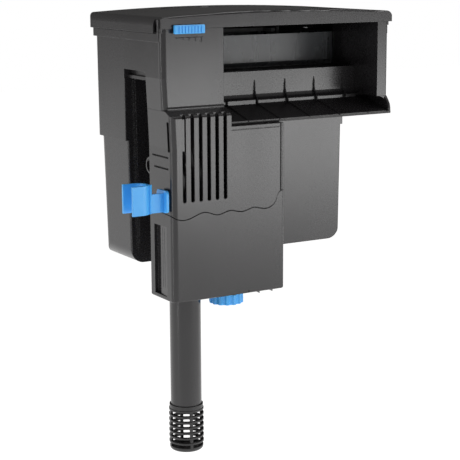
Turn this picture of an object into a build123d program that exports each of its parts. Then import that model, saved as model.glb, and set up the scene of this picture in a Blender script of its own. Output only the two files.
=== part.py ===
from build123d import *
import math
import os

os.makedirs("parts", exist_ok=True)

# ---------------------------------------------------------------------------
# Hang-on-back aquarium power filter.
# Frame: millimetres, +Z up, +X to the right as seen from inside the tank,
# -Y towards the tank's water, +Y behind the tank.
# Origin: middle of the seat under the bridge that rests on the tank's rim.
# ---------------------------------------------------------------------------

# rear box
half_w = 120.0          # half of the body's width
wall = 2.4              # general moulded wall
gap_back = 16.0         # front wall of the rear box (faces the tank's glass)
join_y = 16.4           # above the seat the rear box starts a little further back
case_back = 77.7        # back wall at the top
case_bottom = -171.0
low_r = 13.0            # rounding of the lower edges
step_z = -57.0          # shallow step where the lower case is narrower
rim_top = 50.0
rim_band_top = 42.2
rim_band_bottom = 35.0
rim_half_w = 121.6
rim_back = 82.0
corner_r = 5.0          # rounding of the tank side's front left corner

# bridge and window
front_y = -55.0         # upper front panel
gap_front = -15.6       # back of the weir wall
tank_side_back = -25.6  # back of the parts that hang in the tank
arch_z = 8.3            # top of the rim gap in the side walls
floor_t = 3.0           # channel floor, its underside is z = 0
win_left = -58.4
win_right = 108.2

# spillway
weir_y = -18.0
weir_top = 3.2
foot_z = -24.5
lip_y = -61.5
lip_z = -39.0
lip_left = -57.9
lip_right = 119.8
rib_x = [-36.2, -3.8, 29.3, 61.8, 94.2]

# tank side housing
hx0, hx1 = -117.4, -2.6
hy0, hy1 = -67.6, -25.6
ledge_z = -29.0
panel_foot_z = -20.5
house_bottom = -191.3
seam = [(-119.0, -112.9), (-98.3, -116.6), (-84.8, -113.1), (-72.5, -116.6), (-59.5, -113.9),
        (-47.7, -116.1), (-34.9, -113.4), (-23.6, -115.6), (-12.6, -110.3), (-8.7, -102.2), (-1.0, -101.0)]
seam_rise = 0.07        # the seam climbs a little towards the back
slot_x = [-105.5 + 8.2 * i for i in range(6)]
slot_w = 3.6
slot_bottom = -103.0

# intake
tube_x, tube_y = -95.0, -47.0
tube_r, tube_ri = 14.0, 12.3
tube_top, tube_end = -160.0, -294.0
strainer_top, strainer_end, strainer_r = -290.4, -333.4, 15.2
dial_x, dial_y, dial_r = -53.0, -48.0, 15.6

# pump
px, py = -31.0, -46.6
riser_x, riser_y, riser_z = -70.0, -37.0, -160.0
upper_x = -88.0         # the riser's upper run, left of the lip
riser_r, riser_ri = 7.0, 5.5
down_x, down_y, down_z = -104.0, 28.0, -150.0

# lid
lid_half_w = 123.5
lid_front, lid_back = -57.2, 84.0
crown_z, crown_edge_z = 59.6, 56.6
lid_t = 2.2
panel_sink = 0.7        # depth of the broad panel in the lid's top

# basket
bx0, bx1 = -94.0, 112.4
by0, by1 = 20.2, 70.2
bz0, bz1 = -150.0, 34.0
bow_x0 = -57.4          # left end of the basket's bowed front


def block(x0, x1, y0, y1, z0, z1, mode=Mode.ADD):
    """An axis-aligned block between two corners, in the builder that is open."""
    with Locations(((x0 + x1) / 2, (y0 + y1) / 2, (z0 + z1) / 2)):
        Box(x1 - x0, y1 - y0, z1 - z0, mode=mode)


def rod(x, y, z0, z1, r, mode=Mode.ADD):
    """A vertical cylinder in the builder that is open."""
    with Locations((x, y, (z0 + z1) / 2)):
        Cylinder(r, z1 - z0, mode=mode)


def box_at(z, x0, x1, y0, y1, r_front, r_back):
    """The face of a rectangle whose front and back corners are rounded differently."""
    with BuildSketch(Plane.XY.offset(z), mode=Mode.PRIVATE) as s:
        with Locations(((x0 + x1) / 2, (y0 + y1) / 2)):
            Rectangle(x1 - x0, y1 - y0)
        fillet(s.vertices().group_by(Axis.Y)[-1], r_back)
        fillet(s.vertices().group_by(Axis.Y)[0], r_front)
    return s.sketch.face()


def rect_at(z, x0, x1, y0, y1, r):
    """The face of a rounded rectangle on a horizontal plane."""
    with BuildSketch(Plane.XY.offset(z), mode=Mode.PRIVATE) as s:
        with Locations(((x0 + x1) / 2, (y0 + y1) / 2)):
            RectangleRounded(x1 - x0, y1 - y0, r)
    return s.sketch.face()


# --------------------------------------------------------------- filter case
with BuildPart() as filter_case:
    loft([box_at(case_bottom, -115.8, 115.8, gap_back, 73.5, 1.6, 12),
          box_at(step_z, -117.5, 117.5, gap_back, 76.0, 1.6, 12)])
    # well rounded lower edges: front view, then side view
    with BuildSketch(Plane.XZ.offset(-95.0)) as case_front:
        with BuildLine():
            Polyline((-115.8, case_bottom), (115.8, case_bottom), (118.5, 10.0), (-118.5, 10.0), close=True)
        make_face()
        fillet(case_front.vertices().group_by(Axis.Z)[0], low_r)
    extrude(amount=95.0, mode=Mode.INTERSECT)
    with BuildSketch(Plane.YZ.offset(-130.0)) as case_side:
        with BuildLine():
            Polyline((gap_back, case_bottom), (73.5, case_bottom), (77.5, 10.0), (gap_back, 10.0), close=True)
        make_face()
        fillet(case_side.vertices().group_by(Axis.Z)[0].sort_by(Axis.Y)[-1], low_r)
        fillet(case_side.vertices().group_by(Axis.Z)[0].sort_by(Axis.Y)[0], 8.0)
    extrude(amount=260.0, mode=Mode.INTERSECT)
    loft([box_at(step_z, -119.8, 119.8, gap_back, 77.2, 0.8, 9),
          box_at(rim_band_bottom, -half_w, half_w, gap_back, case_back, 0.8, 9)])
    # rim band and the neck that the lid slips over
    with BuildSketch(Plane.XY.offset(rim_band_bottom)):
        with Locations((0, (gap_back + rim_back) / 2)):
            Rectangle(2 * rim_half_w, rim_back - gap_back)
    extrude(amount=rim_band_top - rim_band_bottom)
    fillet(filter_case.edges().filter_by(Axis.Z).group_by(Axis.Y)[-1], 9)
    block(-119.4, 119.4, gap_back, 80.0, rim_band_top, rim_top)
    # cavity
    loft([rect_at(case_bottom + wall, -105.0, 105.0, gap_back + wall + 3.0, 62.0, 4),
          rect_at(case_bottom + 13.5, -113.3, 113.3, gap_back + wall, 71.4, 6)], mode=Mode.SUBTRACT)
    loft([rect_at(case_bottom + 13.4, -113.3, 113.3, gap_back + wall, 71.4, 6),
          rect_at(rim_band_bottom, -117.6, 117.6, gap_back + wall, 75.3, 6)], mode=Mode.SUBTRACT)
    block(-117.2, 117.2, gap_back + wall, 77.6, rim_band_bottom, rim_top + 1, Mode.SUBTRACT)
    # the front wall is open above the weir's level, to the channel and to the left chamber
    block(win_left, win_right, gap_back - 1, gap_back + wall + 0.1, floor_t, rim_top + 1, Mode.SUBTRACT)
    block(-110.6, win_left - wall, gap_back - 1, gap_back + wall + 0.1, floor_t, rim_top + 1, Mode.SUBTRACT)
    # above the seat the front wall stands back a little
    block(-130, 130, gap_back - 5, join_y, -0.05, 60, Mode.SUBTRACT)
    # ribs on the floor that the basket stands on
    for x in (-70, 0, 70):
        block(x - 1.2, x + 1.2, 26, 60, case_bottom + wall - 0.5, bz0 - 0.3)
    # slim grooves in the wall that faces the glass
    for x0 in (-110.4, -112.7):
        with BuildSketch(Plane.XZ.offset(-gap_back - 0.8)):
            with BuildLine():
                Polyline((x0, -0.05), (x0 + 1.1, -0.05), (x0 + 3.3, -158.0), (x0 + 2.2, -158.0), close=True)
            make_face()
        extrude(amount=2.0, mode=Mode.SUBTRACT)
filter_case.part.label = "filter_case"
export_step(filter_case.part, "parts/filter_case.step")

# -------------------------------------------------------------- bridge frame
with BuildPart() as bridge_frame:
    # left side wall, from the rim down to the ledge
    with BuildSketch(Plane.YZ.offset(-half_w)):
        with BuildLine():
            Polyline((front_y, 46.0), (join_y, 46.0), (join_y, -1.0), (tank_side_back, -1.0),
                     (tank_side_back, panel_foot_z - 3.0), (front_y, panel_foot_z - 3.0), close=True)
        make_face()
    extrude(amount=wall + 1.3)
    block(-half_w + wall, -half_w + wall + 2.0, front_y + 5.0, join_y + 1, 4.2, 47.0, Mode.SUBTRACT)
    # the wall leans in a little below the arch
    with BuildSketch(Plane.XZ.offset(75.0)):
        with BuildLine():
            Polyline((-half_w - 2, 4.0), (-half_w, 4.0), (-half_w + 1.3, panel_foot_z - 3.0),
                     (-half_w + 1.3, panel_foot_z - 4.0), (-half_w - 2, panel_foot_z - 4.0), close=True)
        make_face()
    extrude(amount=-60.0, mode=Mode.SUBTRACT)
    block(-half_w - 1, -half_w + wall + 2.5, tank_side_back, join_y + 1, -2, arch_z, Mode.SUBTRACT)
    fillet(bridge_frame.edges().filter_by(Axis.X).filter_by_position(Axis.Z, arch_z - 0.1, arch_z + 0.1)
           .filter_by_position(Axis.Y, tank_side_back - 0.1, tank_side_back + 0.1), 4.5)
    # panel
    block(-half_w + 2.0, win_left, front_y, front_y + wall, panel_foot_z - 3.0, 46.0)
    # well rounded corner between the side and the panel
    corner = [e for e in bridge_frame.edges() if e.center().X < -half_w + 1.5 and abs(e.center().Y - front_y) < 0.05
              and e.length > 10 and abs((e @ 1 - e @ 0).X) < 2.0]
    fillet(corner, corner_r)
    # window's left jamb, back to the rear box
    block(win_left - wall, win_left, front_y, gap_front, -23.5, 46.0)
    block(win_left - wall, win_left, gap_front - 0.1, gap_back, 0, 46.0)
    block(win_left - wall, win_left, gap_back - 0.1, join_y, 0.4, 46.0)
    # floor of the channel, the seat is its underside
    block(-116.0, win_right + wall, gap_front, gap_back, 0, floor_t)
    block(win_right + wall - 0.1, half_w - wall, gap_front, gap_back, 0, floor_t)
    block(-116.0, half_w - wall, gap_back - 0.1, join_y, 0.4, floor_t)
    # floor of the left chamber, a little above the seat
    block(-117.6, win_left - 0.1, front_y + wall - 0.1, tank_side_back, 0.4, floor_t)
    block(-116.0, win_left - 0.1, tank_side_back - 0.1, gap_front + 0.1, 0.4, floor_t)
    # inner wall behind the arch
    block(-113.0, -113.0 + wall, tank_side_back, join_y, floor_t - 0.1, rim_band_top)
    block(-half_w + wall - 0.1, -112.9, tank_side_back - wall, tank_side_back, floor_t - 0.1, rim_band_top)
    # right cheek: face, inner wall, outer wall and underside
    block(win_right, half_w, front_y, front_y + wall, -23.0, 46.0)
    block(win_right, win_right + wall, front_y, gap_front, -23.0, 46.0)
    block(win_right, win_right + wall, gap_front - 0.1, gap_back, 0, 46.0)
    block(win_right, win_right + wall, gap_back - 0.1, join_y, 0.4, 46.0)
    block(half_w - wall, half_w, front_y, gap_front, -23.0, 46.0)
    block(half_w - wall, half_w, gap_front - 0.1, join_y, arch_z, 46.0)
    block(win_right, half_w, front_y, gap_front, -23.0, -21.0)
    # back of the cheek towards the rim gap
    block(win_right, half_w, gap_front - wall, gap_front, -23.0, arch_z)
    fillet(bridge_frame.edges().filter_by(Axis.Z).filter_by_position(Axis.X, half_w - 0.05, half_w + 0.05)
           .filter_by_position(Axis.Y, front_y - 0.05, front_y + 0.05), 2.2)
    # rim band on both sides
    block(-rim_half_w, -half_w + 0.5, front_y + 1.8, join_y, rim_band_bottom, rim_band_top)
    block(half_w - 0.5, rim_half_w, front_y + 3.0, join_y, rim_band_bottom, rim_band_top)
    block(-119.4, -119.4 + wall, front_y + 5.2, join_y, 45.9, rim_top)
    block(119.4 - wall, 119.4, front_y + 1, join_y, 45.9, rim_top)
    # corner post in the notch of the lid
    block(-rim_half_w, -half_w + 1.6, front_y + 1.7, front_y + 5.4, 35.0, 45.9)
    block(-rim_half_w, -half_w + 1.0, front_y + 1.7, front_y + 5.4, 45.8, 54.0)
    fillet(bridge_frame.edges().filter_by(Axis.Z).filter_by_position(Axis.X, -rim_half_w - 0.05, -rim_half_w + 0.05)
           .filter_by_position(Axis.Y, front_y + 1.6, front_y + 1.8), 1.2)
    # slot for the flow slider's neck
    block(-104.6, -85.4, front_y - 1, front_y + wall + 1, 41.9, 46.5, Mode.SUBTRACT)
    # engraved scale under the slider, marks of growing height
    for i, x in enumerate((-104.5, -98.5, -92.5, -86.5, -80.5)):
        block(x - 0.3, x + 0.3, front_y - 1, front_y + 0.5, 37.6 - 1.1 * i * 0.75, 38.6, Mode.SUBTRACT)
    block(-106.0, -79.0, front_y - 1, front_y + 0.3, 38.4, 38.8, Mode.SUBTRACT)
    # hole for the riser
    rod(upper_x, riser_y, -1, floor_t + 1, riser_r + 0.3, Mode.SUBTRACT)
    # foot of the panel: concave sweep out to the ledge
    with BuildSketch(Plane.YZ.offset(-half_w + 5.0)):
        with BuildLine():
            foot_arc = ThreePointArc((front_y, panel_foot_z), (front_y - 0.9, panel_foot_z - 2.1),
                                     (front_y - 3.0, panel_foot_z - 2.98))
            Polyline(foot_arc @ 1, (front_y - 3.0, panel_foot_z - 3.0), (front_y + 1.0, panel_foot_z - 3.0),
                     (front_y + 1.0, panel_foot_z), foot_arc @ 0)
        make_face()
    extrude(amount=half_w - 5.0 + win_left)
bridge_frame.part.label = "bridge_frame"
export_step(bridge_frame.part, "parts/bridge_frame.step")

# ------------------------------------------------------------- spillway tray
with BuildPart() as spillway_tray:
    # weir wall
    block(win_left + 0.02, win_right - 0.02, weir_y, gap_front, foot_z - 2.5, -0.02)
    block(win_left + 0.02, win_right - 0.02, weir_y, gap_front - 0.02, -0.1, weir_top)
    # concave foot of the wall, then a low step down to the lip
    with BuildSketch(Plane.YZ.offset(win_left + 0.6)):
        with BuildLine():
            wall_foot = ThreePointArc((weir_y, -17.0), (weir_y - 0.9, -20.6), (weir_y - 3.6, -22.8))
            Polyline(wall_foot @ 1, (weir_y - 3.9, -23.4), (weir_y - 3.9, foot_z - 2.6),
                     (weir_y + 0.5, foot_z - 2.6), (weir_y + 0.5, -17.0), wall_foot @ 0)
        make_face()
    extrude(amount=win_right - win_left - 0.64)
    # ledge at the left end of the foot
    block(-36.0, -6.5, weir_y - 6.4, weir_y - 1.0, foot_z - 2.0, -22.6)
    # sloping lip
    with BuildSketch(Plane.YZ.offset(lip_left)):
        with BuildLine():
            Polyline((gap_front, foot_z), (lip_y + 1.2, lip_z + 2.6), (lip_y, lip_z + 1.6), (lip_y + 0.3, lip_z),
                     (lip_y + 2.4, lip_z - 0.2), (gap_front, foot_z - 2.6), close=True)
        make_face()
    extrude(amount=lip_right - lip_left)
    # back of the lip's right end, up to the cheek
    block(win_right + 0.02, lip_right, gap_front - wall, gap_front, foot_z - 1.0, -23.02)
    # end wall at the right: a thin rounded cheek plate
    with BuildSketch(Plane.YZ.offset(lip_right - wall)):
        with BuildLine():
            Polyline((gap_front, -23.02), (front_y + 0.4, -23.02), (front_y - 1.2, -24.9), (front_y - 3.2, -27.4),
                     (front_y - 5.1, -30.5), (front_y - 6.0, -34.0), (lip_y + 0.1, lip_z + 0.6), (lip_y + 2.0, lip_z),
                     (gap_front, foot_z - 2.6), close=True)
        make_face()
    extrude(amount=wall)
    # curved web between the cheek's face and the end wall
    with BuildSketch(Plane.XZ.offset(-front_y)):
        with BuildLine():
            web = ThreePointArc((lip_right - 0.2, -29.2), (lip_right - 4.4, -25.0), (win_right + 0.4, -23.02))
            Polyline(web @ 1, (lip_right - 0.2, -23.02), web @ 0)
        make_face()
    extrude(amount=-wall)
    # low fins on the weir wall that run out over the foot, and faint ribs across the lip
    for i, x in enumerate(rib_x):
        if i > 0:
            with BuildSketch(Plane.YZ.offset(x - 0.5)):
                with BuildLine():
                    Polyline((weir_y + 0.5, -5.0), (weir_y, -5.0), (weir_y - 1.1, -9.0), (weir_y - 1.5, -15.0),
                             (weir_y - 2.4, -18.6), (weir_y - 5.0, -21.8), (weir_y - 7.0, foot_z - 0.8),
                             (weir_y + 0.5, foot_z - 1.4), close=True)
                make_face()
            extrude(amount=1.0)
        with BuildSketch(Plane.YZ.offset(x - 0.4)):
            with BuildLine():
                Polyline((weir_y - 3.0, foot_z - 0.4), (lip_y + 2.0, lip_z + 3.4), (lip_y + 0.2, lip_z + 2.7),
                         (lip_y - 0.35, lip_z + 2.2), (lip_y - 0.2, lip_z + 1.2), (lip_y + 2.5, lip_z + 0.8),
                         (weir_y - 3.0, foot_z - 2.0), close=True)
            make_face()
        extrude(amount=0.8)
spillway_tray.part.label = "spillway_tray"
export_step(spillway_tray.part, "parts/spillway_tray.step")

# ---------------------------------------- tank side housing, made in one form
with BuildPart() as housing_form:
    with BuildSketch(Plane.YZ.offset(-half_w)):
        with BuildLine():
            Polyline((front_y - 3.0, panel_foot_z - 3.0 - 0.02), (hy0 + 0.9, ledge_z + 1.2), (hy0, ledge_z - 0.6),
                     (hy0, house_bottom), (hy1, house_bottom), (hy1, -0.02), (front_y + wall, -0.02),
                     (front_y + wall, panel_foot_z - 3.02), close=True)
        make_face()
    extrude(amount=hx1 + half_w)
    # the left face leans in from the arch down to the level of the slots' middle
    with BuildSketch(Plane.XZ.offset(80.0)):
        with BuildLine():
            Polyline((-125.0, 5.0), (hx0 + 1.2, 5.0), (hx0 + 1.2, panel_foot_z - 3.02),
                     (-half_w + 1.3, panel_foot_z - 3.02), (hx0, -56.0), (hx0, -200.0), (-125.0, -200.0), close=True)
        make_face()
    extrude(amount=-70.0, mode=Mode.SUBTRACT)
    # right of the slots the top stays under the lip
    block(-58.0, 1, -80, hy1 + 5, -39.6, 5, Mode.SUBTRACT)
    block(win_left - wall - 0.1, 1, -80, hy1 + 5, panel_foot_z - 3.02, 5, Mode.SUBTRACT)
    fillet(housing_form.edges().filter_by(Axis.Z).filter_by_position(Axis.X, hx1 - 0.1, hx1 + 0.1), 3.0)
    corner = [e for e in housing_form.edges() if e.center().X < hx0 + 0.2 and abs(e.center().Y - hy0) < 0.15
              and e.length > 5]
    fillet(corner, corner_r)
    fillet(housing_form.edges().filter_by_position(Axis.Z, house_bottom - 0.1, house_bottom + 0.1), 1.6)

with BuildPart() as housing_hollow:
    with BuildSketch(Plane.YZ.offset(hx0 + wall)):
        with BuildLine():
            Polyline((front_y + 2 * wall, 1.0), (front_y + 2 * wall, panel_foot_z - 4.6),
                     (front_y - 3.0 + wall, panel_foot_z - 5.6), (hy0 + wall + 0.6, ledge_z - 1.6),
                     (hy0 + wall, ledge_z - 3.0), (hy0 + wall, house_bottom + wall), (hy1 - wall, house_bottom + wall),
                     (hy1 - wall, 1.0), close=True)
        make_face()
    extrude(amount=hx1 - hx0 - 2 * wall)
    block(-58.0 - wall, 1, -80, hy1 + 5, -42.0, 5, Mode.SUBTRACT)

# the two sides of the wavy seam
with BuildPart() as below_seam:
    with BuildSketch(Plane.XZ.offset(75.0)):
        with BuildLine():
            edge_line = Spline([(x, z) for x, z in seam])
            Polyline(edge_line @ 1, (5.0, -101.0), (5.0, -260.0), (-125.0, -260.0), (-125.0, seam[0][1]), edge_line @ 0)
        make_face()
    extrude(amount=60.0, dir=(0, 1, seam_rise))

with BuildPart() as skimmer_shroud:
    add(housing_form.part)
    add(housing_hollow.part, mode=Mode.SUBTRACT)
    add(below_seam.part, mode=Mode.SUBTRACT)
    # six skimmer slots, cut down from the ledge
    for i, x in enumerate(slot_x):
        block(x - slot_w / 2, x + slot_w / 2, hy0 - 5, hy0 + wall + 1.5, slot_bottom + slot_w / 2,
              panel_foot_z - 6.0, Mode.SUBTRACT)
        with Locations(Location((x, hy0, slot_bottom + slot_w / 2), (90, 0, 0))):
            Cylinder(slot_w / 2, 12, mode=Mode.SUBTRACT)
    # the first slot is closed in its upper part
    block(slot_x[0] - slot_w / 2 - 0.2, slot_x[0] + slot_w / 2 - 0.8, hy0 + 0.9, hy0 + wall, -58.0, ledge_z - 1.2)
    # step under the lip and the groove near the right edge
    block(-58.0, -7.3, hy0 - 1, hy0 + 0.8, -43.0, -42.1, Mode.SUBTRACT)
    block(-7.4, -6.2, hy0 - 1, hy0 + 1.1, -101.0, -39.0, Mode.SUBTRACT)
    # slim openings in the left face
    block(hx0 - 1, hx0 + wall + 1, -63.6, -60.0, -58.2, -32.5, Mode.SUBTRACT)
    for z in (-63.3, -73.3):
        block(hx0 - 1, hx0 + wall + 1, -60.8, -31.0, z - 0.8, z + 0.8, Mode.SUBTRACT)
    # small loop behind the left face, for tying the lead
    with Locations(Location((hx0 + 1.4, hy1 - 0.6, -74.0), (0, 90, 0))):
        Cylinder(7.6, 2.8)
        Cylinder(6.0, 4, mode=Mode.SUBTRACT)
    block(hx0, hx0 + wall, hy1 - 9.0, hy1, -83.0, -65.0)
    # hole for the heater clip's neck
    block(hx0 - 1, hx0 + wall + 1, -60.4, -51.6, -105.9, -95.9, Mode.SUBTRACT)
    # carrier for the pump, on the back wall
    block(px - 10, px + 10, hy1 - wall - 1.6, hy1 - wall + 0.1, -108, -96.2)
skimmer_shroud.part.label = "skimmer_shroud"
export_step(skimmer_shroud.part, "parts/skimmer_shroud.step")

with BuildPart() as intake_housing:
    add(housing_form.part)
    add(housing_hollow.part, mode=Mode.SUBTRACT)
    add(below_seam.part.moved(Location((0, 0, -0.7))), mode=Mode.INTERSECT)
    # thicker wall behind the finger recess
    block(hx0 + 1.0, hx0 + 5.6, -57.0, -30.6, -189.6, -123.0)
    # finger recess in the left face, deep at the back and running out at the front
    with BuildSketch(Plane.XY.offset(-187.5)):
        with BuildLine():
            Polyline((hx0 - 1, -55.5), (hx0 + 0.3, -55.5), (hx0 + 1.4, -42.0), (hx0 + 3.4, -36.5), (hx0 + 3.4, -32.8),
                     (hx0 - 1, -32.8), close=True)
        make_face()
    extrude(amount=62.5, mode=Mode.SUBTRACT)
    for y in (-46.5, -50.5):
        block(hx0 - 0.2, hx0 + 1.5, y - 0.2, y + 0.2, -180.0, -127.0, Mode.SUBTRACT)
    # notch over the dial, tube hole and dial hole
    block(-72.0, -40.0, hy0 - 1, hy0 + 1.0, house_bottom - 1, house_bottom + 2.6, Mode.SUBTRACT)
    rod(tube_x, tube_y, house_bottom - 1, house_bottom + wall + 1, 16.2, Mode.SUBTRACT)
    rod(dial_x, dial_y, house_bottom - 1, house_bottom + wall + 1, 3.3, Mode.SUBTRACT)
    # small feet under the right corner
    for x0, x1 in ((-31.4, -24.5), (-12.6, -10.6)):
        with BuildSketch(Plane.XZ.offset(60.0)):
            with BuildLine():
                Polyline((x0, house_bottom + 0.3), (x1, house_bottom + 0.3), (x1, house_bottom - 3.6), close=True)
            make_face()
        extrude(amount=-8.0)
intake_housing.part.label = "intake_housing"
export_step(intake_housing.part, "parts/intake_housing.step")

# --------------------------------------------------------------------- lid
with BuildPart() as lid_panel:
    with BuildSketch(Plane.XZ.offset(-lid_back)):
        with BuildLine():
            Line((lid_half_w - 7.5, crown_edge_z - 0.3 - panel_sink), (lid_half_w - 7.5, 64.0))
            Line((lid_half_w - 7.5, 64.0), (-lid_half_w + 7.5, 64.0))
            Line((-lid_half_w + 7.5, 64.0), (-lid_half_w + 7.5, crown_edge_z - 0.3 - panel_sink))
            ThreePointArc((lid_half_w - 7.5, crown_edge_z - 0.3 - panel_sink), (0, crown_z - panel_sink),
                          (-lid_half_w + 7.5, crown_edge_z - 0.3 - panel_sink))
        make_face()
    extrude(amount=lid_back - lid_front)
    with BuildSketch(Plane.XY.offset(50.0)):
        with Locations((20.0, 17.5)):
            RectangleRounded(160.0, 117.0, 24.0)
    extrude(amount=16.0, mode=Mode.INTERSECT)

with BuildPart() as lid:
    with BuildSketch(Plane.XZ.offset(-lid_back)):
        with BuildLine():
            Polyline((-lid_half_w, 49.0), (-lid_half_w, 42.6), (lid_half_w, 42.6), (lid_half_w, 49.0))
            ThreePointArc((lid_half_w, 49.0), (lid_half_w - 2.2, 54.3), (lid_half_w - 7.5, crown_edge_z - 0.3))
            ThreePointArc((lid_half_w - 7.5, crown_edge_z - 0.3), (0, crown_z), (-lid_half_w + 7.5, crown_edge_z - 0.3))
            ThreePointArc((-lid_half_w + 7.5, crown_edge_z - 0.3), (-lid_half_w + 2.2, 54.3), (-lid_half_w, 49.0))
        make_face()
    extrude(amount=lid_back - lid_front)
    # rounded corners in plan, large at the back and small at the front
    with BuildSketch(Plane.XY.offset(40.0)) as lid_plan:
        with Locations((0, (lid_front + lid_back) / 2)):
            Rectangle(2 * lid_half_w, lid_back - lid_front)
        fillet(lid_plan.vertices().group_by(Axis.Y)[-1], 9.0)
        fillet(lid_plan.vertices().group_by(Axis.Y)[0], 1.4)
    extrude(amount=25.0, mode=Mode.INTERSECT)
    # hollow
    with BuildSketch(Plane.XZ.offset(-lid_back + lid_t)):
        with BuildLine():
            Polyline((-lid_half_w + lid_t - 0.6, 49.0), (-lid_half_w + lid_t - 0.6, 42.0),
                     (lid_half_w - lid_t + 0.6, 42.0), (lid_half_w - lid_t + 0.6, 49.0), (lid_half_w - 7.8, 54.0))
            ThreePointArc((lid_half_w - 7.8, 54.0), (0, crown_z - lid_t), (-lid_half_w + 7.8, 54.0))
            Line((-lid_half_w + 7.8, 54.0), (-lid_half_w + lid_t - 0.6, 49.0))
        make_face()
    extrude(amount=lid_back - lid_front - 1.9 - lid_t, mode=Mode.SUBTRACT)
    # the front skirt is shorter than the side skirts
    block(-119.5, 130.0, lid_front - 1, lid_front + 6.0, 40, 46.2, Mode.SUBTRACT)
    # notch at the front left corner, round the post
    block(-130.0, -121.0, lid_front - 1, lid_front + 9.6, 40, 54.4, Mode.SUBTRACT)
    block(-122.0, -118.6, lid_front + 1.9, lid_front + 9.6, 40, 54.4, Mode.SUBTRACT)
    # broad shallow panel in the top, sunk evenly below the crown
    add(lid_panel.part, mode=Mode.SUBTRACT)
    # rounded front edge of the top
    front_edge = [e for e in lid.edges() if abs(e.center().Y - lid_front) < 0.05 and e.center().Z > 54.5
                  and e.length > 60]
    fillet(front_edge, 1.6)
    # hole of the maintenance indicator
    rod(-8.0, 66.0, 50, 62, 5.3, Mode.SUBTRACT)
lid.part.label = "lid"
export_step(lid.part, "parts/lid.step")

with BuildPart() as maintenance_indicator:
    rod(-8.0, 66.0, 46.0, 58.9, 5.0)
    fillet(maintenance_indicator.edges().sort_by(Axis.Z)[-1], 1.0)
    rod(-8.0, 66.0, 48.0, 49.6, 6.6)
    rod(-8.0, 66.0, 38.5, 46.1, 2.2)
maintenance_indicator.part.label = "maintenance_indicator"
export_step(maintenance_indicator.part, "parts/maintenance_indicator.step")

# ------------------------------------------------------------------ basket
with BuildPart() as media_basket:
    block(bx0, bx1, by0, by1, bz0, bz1)
    fillet(media_basket.edges().filter_by(Axis.Z), 5.0)
    # bowed front of the upper basket, with bevelled right end and bottom
    with BuildSketch(Plane.XY.offset(4.2)):
        with BuildLine():
            Polyline((bow_x0, by0 + 6.0), (bow_x0, 14.0), (99.0, 14.0), (111.6, by0 + 1.0), (111.6, by0 + 6.0),
                     close=True)
        make_face()
    extrude(amount=bz1 - 4.2)
    chamfer(media_basket.edges().filter_by(Axis.X).filter_by_position(Axis.Z, 4.1, 4.3)
            .filter_by_position(Axis.Y, 13.9, 14.1), 4.0)
    # inside
    block(bx0 + 1.8, bx1 - 1.8, by0 + 1.8, by1 - 1.8, bz0 + 2.0, bz1 + 1, Mode.SUBTRACT)
    with BuildSketch(Plane.XY.offset(8.0)):
        with BuildLine():
            Polyline((bow_x0 + 1.8, by0 + 7.0), (bow_x0 + 1.8, 15.8), (98.2, 15.8), (109.4, by0 + 2.0),
                     (109.4, by0 + 7.0), close=True)
        make_face()
    extrude(amount=bz1 - 7.0, mode=Mode.SUBTRACT)
    # floor grid
    with Locations(*[(x, 46.0, bz0 + 1.0) for x in range(-84, 108, 8)]):
        Box(4.0, 38.0, 6.0, mode=Mode.SUBTRACT)
    # cross ribs with the handle's eyes
    for x in (-20.0, 60.0):
        block(x - 1.5, x + 1.5, by0 + 1.7, by1 - 1.7, 28.0, 33.0)
        block(x - 1.5, x + 1.5, 42.0, 50.0, 32.9, 39.4)
        with Locations(Location((x, 46.0, 36.0), (0, 90, 0))):
            Cylinder(1.75, 6, mode=Mode.SUBTRACT)
media_basket.part.label = "media_basket"
export_step(media_basket.part, "parts/media_basket.step")

with BuildPart() as basket_handle:
    # bail, folded flat towards the back; its two pins turn in the eyes
    for x in (-20.0, 60.0):
        with Locations(Location((x + (1.0 if x < 0 else -1.0), 46.0, 36.0), (0, 90, 0))):
            Cylinder(1.65, 5.4)
    block(-16.6, -13.6, 44.0, 62.0, 34.4, 37.6)
    block(53.6, 56.6, 44.0, 62.0, 34.4, 37.6)
    block(-16.6, 56.6, 58.6, 62.0, 34.4, 37.6)
    block(-18.0, -16.5, 44.4, 47.6, 34.4, 37.6)
    block(56.5, 58.0, 44.4, 47.6, 34.4, 37.6)
basket_handle.part.label = "basket_handle"
export_step(basket_handle.part, "parts/basket_handle.step")

# media, stacked in the basket
for label, z0, z1 in (("coarse_foam_pad", -147.4, -118.0), ("fine_foam_pad", -117.4, -98.0),
                      ("carbon_cartridge", -97.4, -50.0), ("bio_media_bag", -49.4, 18.0)):
    with BuildPart() as media:
        block(bx0 + 3.0, bx1 - 3.0, by0 + 3.0, by1 - 3.0, z0, z1)
        fillet(media.edges().filter_by(Axis.Z), 4.0)
    media.part.label = label
    export_step(media.part, f"parts/{label}.step")

# ------------------------------------------------------- flow slider and gate
with BuildPart() as flow_slider:
    block(-109.5, -79.5, lid_front - 3.4, lid_front - 0.5, 41.9, 49.4)
    fillet(flow_slider.edges().filter_by(Axis.Z), 0.9)
    chamfer(flow_slider.edges().filter_by_position(Axis.Y, lid_front - 3.5, lid_front - 3.2)
            .filter_by(Axis.X), 0.6)
    for i in range(8):
        x = -105.4 + 3.1 * i
        block(x - 0.5, x + 0.5, lid_front - 4, lid_front - 2.8, 42.7, 48.6, Mode.SUBTRACT)
    block(-104.0, -98.0, lid_front - 0.6, front_y + 4.0, 42.3, 45.4)
flow_slider.part.label = "flow_slider"
export_step(flow_slider.part, "parts/flow_slider.step")

with BuildPart() as flow_gate:
    block(-104.0, -98.0, front_y + 4.0, front_y + 6.0, 3.6, 45.4)
    block(-109.0, -97.0, front_y + 5.9, -28.5, 3.6, 5.2)
    block(-109.0, -95.6, -45.0, -28.5, 3.6, 5.2)
flow_gate.part.label = "flow_gate"
export_step(flow_gate.part, "parts/flow_gate.step")

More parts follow.
